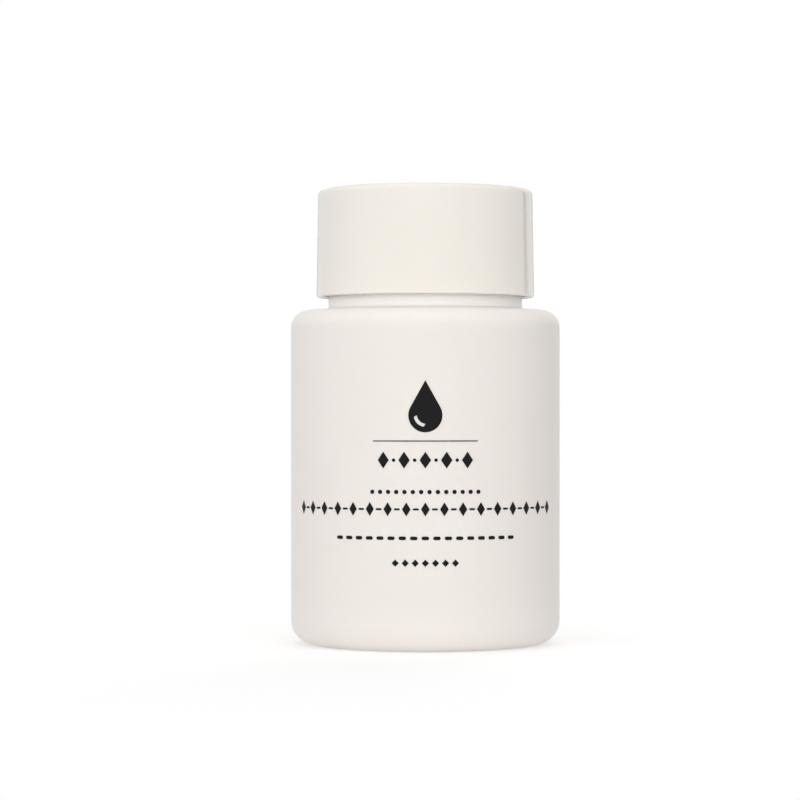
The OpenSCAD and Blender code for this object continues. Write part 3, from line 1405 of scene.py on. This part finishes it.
@dataclass
class FoamBlock:
    """The foam in the jar: a drum with a finger hole and four slits."""

    radius: float = 22.85 * MM
    low: float = 2.1 * MM
    high: float = 54.1 * MM
    low_round: float = 3.2 * MM
    high_round: float = 1.6 * MM
    hole: float = 7.0 * MM
    hole_low: float = 12.1 * MM
    hole_middle: float = 0.1
    lip: float = 1.0 * MM
    lip_rings: float = 1.2 * MM
    base_middle: float = 0.9 * MM
    slits: int = 4
    slit_half: float = 0.4 * MM
    slit_end: float = 12.0 * MM
    slit_reach: Pair = (0.5, 1.15)
    gape: float = 0.75 * MM
    gape_from: float = 34.0 * MM
    least_turn: float = 0.0035
    turn_digits: int = 5
    steps: FoamSteps = FoamSteps()
    pore_size: float = 1.25 * MM
    pore_depth: float = 0.5 * MM
    sag: float = 0.7 * MM
    seed: int = 7
    body: str = "jar_body"
    node: str = "sponge"
    foam: CutFoam = CutFoam("rose_foam", Tint(0.72, 0.36, 0.42), 0.86, 1.35)

    def turns(self) -> np.ndarray:
        """The angles of the mesh's meridians, closer together at the slits.

        Returns:
            The angles in rising order, none nearer to the next than least_turn.
        """
        even = np.linspace(0, math.tau, self.steps.around, endpoint=False)
        near = math.atan2(self.slit_half + self.gape, self.hole)
        far = math.atan2(self.slit_half, self.slit_end)
        first, last = self.slit_reach
        spread = np.linspace(far * first, near * last, self.steps.by_slit)
        spread = np.concatenate([spread, [0.0]])
        quarters = [math.tau * slit / self.slits for slit in range(self.slits)]
        close = [quarter + sign * spread for quarter in quarters for sign in (1, -1)]
        merged = np.mod(np.concatenate([even, *close]), math.tau)
        merged = np.unique(np.round(merged, self.turn_digits))
        keep = np.concatenate([[True], np.diff(merged) > self.least_turn])
        return merged[keep]

    def hole_radius(self, turn: np.ndarray, height: float) -> np.ndarray:
        """How far the hole reaches at each angle.

        Args:
            turn: The angles.
            height: The height.

        Returns:
            The reach, longer at the slits.
        """
        rise = np.clip((height - self.gape_from) / (self.high - self.gape_from), 0, 1)
        half = self.slit_half + self.gape * rise**2
        apart = math.tau / self.slits
        off = np.abs(np.mod(turn + apart / 2, apart) - apart / 2)
        wall = half / np.maximum(np.sin(off), TINY)
        end = self.slit_end / np.maximum(np.cos(off), TINY)
        slit = np.minimum(wall, end)
        wide = self.hole + self.lip * np.clip((height - self.high + self.lip) / self.lip, 0, 1)
        return np.maximum(wide, slit)

    def rings(self, turn: np.ndarray) -> list[tuple[np.ndarray, np.ndarray]]:
        """The mesh's rings from the middle of the base to the middle of the hole's floor.

        Args:
            turn: The angles of the meridians.

        Returns:
            Radius and height of each ring at each angle.
        """
        flat = np.ones_like(turn)
        quarter = math.pi / 2
        made: list[tuple[np.ndarray, np.ndarray]] = []

        def add(reach: np.ndarray | float, height: float) -> None:
            """Adds one ring."""
            made.append((flat * reach, flat * height))

        def after(first: float, last: float, steps: int) -> np.ndarray:
            """Even steps from one value to another, without the first."""
            return np.linspace(first, last, steps + 1)[1:]

        inner = self.radius - self.low_round
        for reach in (self.base_middle, *after(self.base_middle, inner, self.steps.base)):
            add(reach, self.low)
        for angle in after(0, quarter, self.steps.low_round):
            add(
                self.radius - self.low_round * (1 - math.sin(angle)),
                self.low + self.low_round * (1 - math.cos(angle)),
            )
        bottom, top = self.low + self.low_round, self.high - self.high_round
        for height in after(bottom, top, self.steps.wall):
            add(self.radius, height)
        for angle in after(0, quarter, self.steps.high_round):
            add(
                self.radius - self.high_round * (1 - math.cos(angle)),
                self.high - self.high_round * (1 - math.sin(angle)),
            )
        outer = self.radius - self.high_round
        mouth = self.hole_radius(turn, self.high)
        for share in after(0, 1, self.steps.top):
            add(outer + (mouth - outer) * share, self.high)
        lip = after(0, self.lip_rings, self.steps.lip)
        shaft = after(self.lip_rings, self.high - self.hole_low, self.steps.hole)
        for depth in (*lip, *shaft):
            add(self.hole_radius(turn, self.high - depth), self.high - depth)
        end = self.hole_radius(turn, self.hole_low)
        for share in after(1, self.hole_middle, self.steps.hole_floor):
            add(end * share, self.hole_low)
        return made

    def mesh(self) -> bpy.types.Mesh:
        """Builds the closed drum.

        Returns:
            The mesh, its faces outwards.
        """
        turn = self.turns()
        rings = self.rings(turn)
        count = len(turn)
        points = [(0.0, 0.0, self.low)]
        for reach, height in rings:
            points.extend(zip(reach * np.cos(turn), reach * np.sin(turn), height))
        points.append((0.0, 0.0, self.hole_low))
        last, top = len(points) - 1, 1 + (len(rings) - 1) * count
        faces: list[tuple[int, ...]] = []
        for step in range(count):
            after = (step + 1) % count
            faces.append((0, 1 + after, 1 + step))
            faces.append((last, top + step, top + after))
            for base in range(1, top, count):
                upper = base + count
                faces.append((base + step, base + after, upper + after, upper + step))
        made = bpy.data.meshes.new("foam_block")
        made.from_pydata([tuple(map(float, point)) for point in points], [], faces)
        made.validate()
        made.shade_smooth()
        return made

    def build(self) -> bpy.types.Object:
        """Builds the foam, opens its pores and puts it in the sponge's place.

        Returns:
            The piece.
        """
        tree = PoreTree(self.foam.material(), self.foam.pore_name)
        sizes = {
            "Pore Size": self.pore_size,
            "Pore Depth": self.pore_depth,
            "Sag": self.sag,
            "Top": self.high,
            "Seed": float(self.seed),
        }
        piece = tree.run("foam_block", self.mesh(), sizes)
        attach(piece, self.body)
        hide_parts(self.node)
        LOG.info("foam_block: %d faces", len(piece.data.polygons))
        return piece


@dataclass
class MouldedPart:
    """A part whose solid is right as it is, and which only needs its finish."""

    node: str
    finish: Finish

    def dress(self, nodes: dict[str, bpy.types.Object]) -> None:
        """Gives the solid its finish.

        Args:
            nodes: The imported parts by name.
        """
        material = self.finish.material()
        for place in nodes[self.node].material_slots:
            place.material = material
        LOG.info("%s: %s", self.node, self.finish.label)


@dataclass
class JarAssembly:
    """The jar with what it holds and what is printed on it."""

    plastic: BlownPlastic = BlownPlastic("satin_polyethylene", Tint(0.872, 0.825, 0.782), 0.4)
    foam: FoamBlock = field(default_factory=FoamBlock)
    ornament: FrontPrint = field(default_factory=FrontPrint)

    def build(self, nodes: dict[str, bpy.types.Object]) -> None:
        """Dresses the jar, fills it and prints on it.

        Args:
            nodes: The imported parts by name.
        """
        MouldedPart("jar", self.plastic).dress(nodes)
        self.foam.build()
        self.ornament.build()


@dataclass
class CapAssembly:
    """The screw cap and the liner that seals it."""

    plastic: GlossPlastic = GlossPlastic("gloss_polypropylene", Tint(0.861, 0.819, 0.759), 0.09)
    lining: FoamedSheet = FoamedSheet("foamed_liner", Tint(0.9, 0.9, 0.88), 0.62)

    def build(self, nodes: dict[str, bpy.types.Object]) -> None:
        """Dresses the cap and its liner."""
        MouldedPart("cap", self.plastic).dress(nodes)
        MouldedPart("cap_liner", self.lining).dress(nodes)


def main() -> None:
    """Loads the frame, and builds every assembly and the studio."""
    logging.basicConfig(level=logging.INFO, format="%(message)s")
    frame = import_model()
    JarAssembly().build(frame["nodes"])
    CapAssembly().build(frame["nodes"])
    Studio().build()


if __name__ == "__main__":
    main()
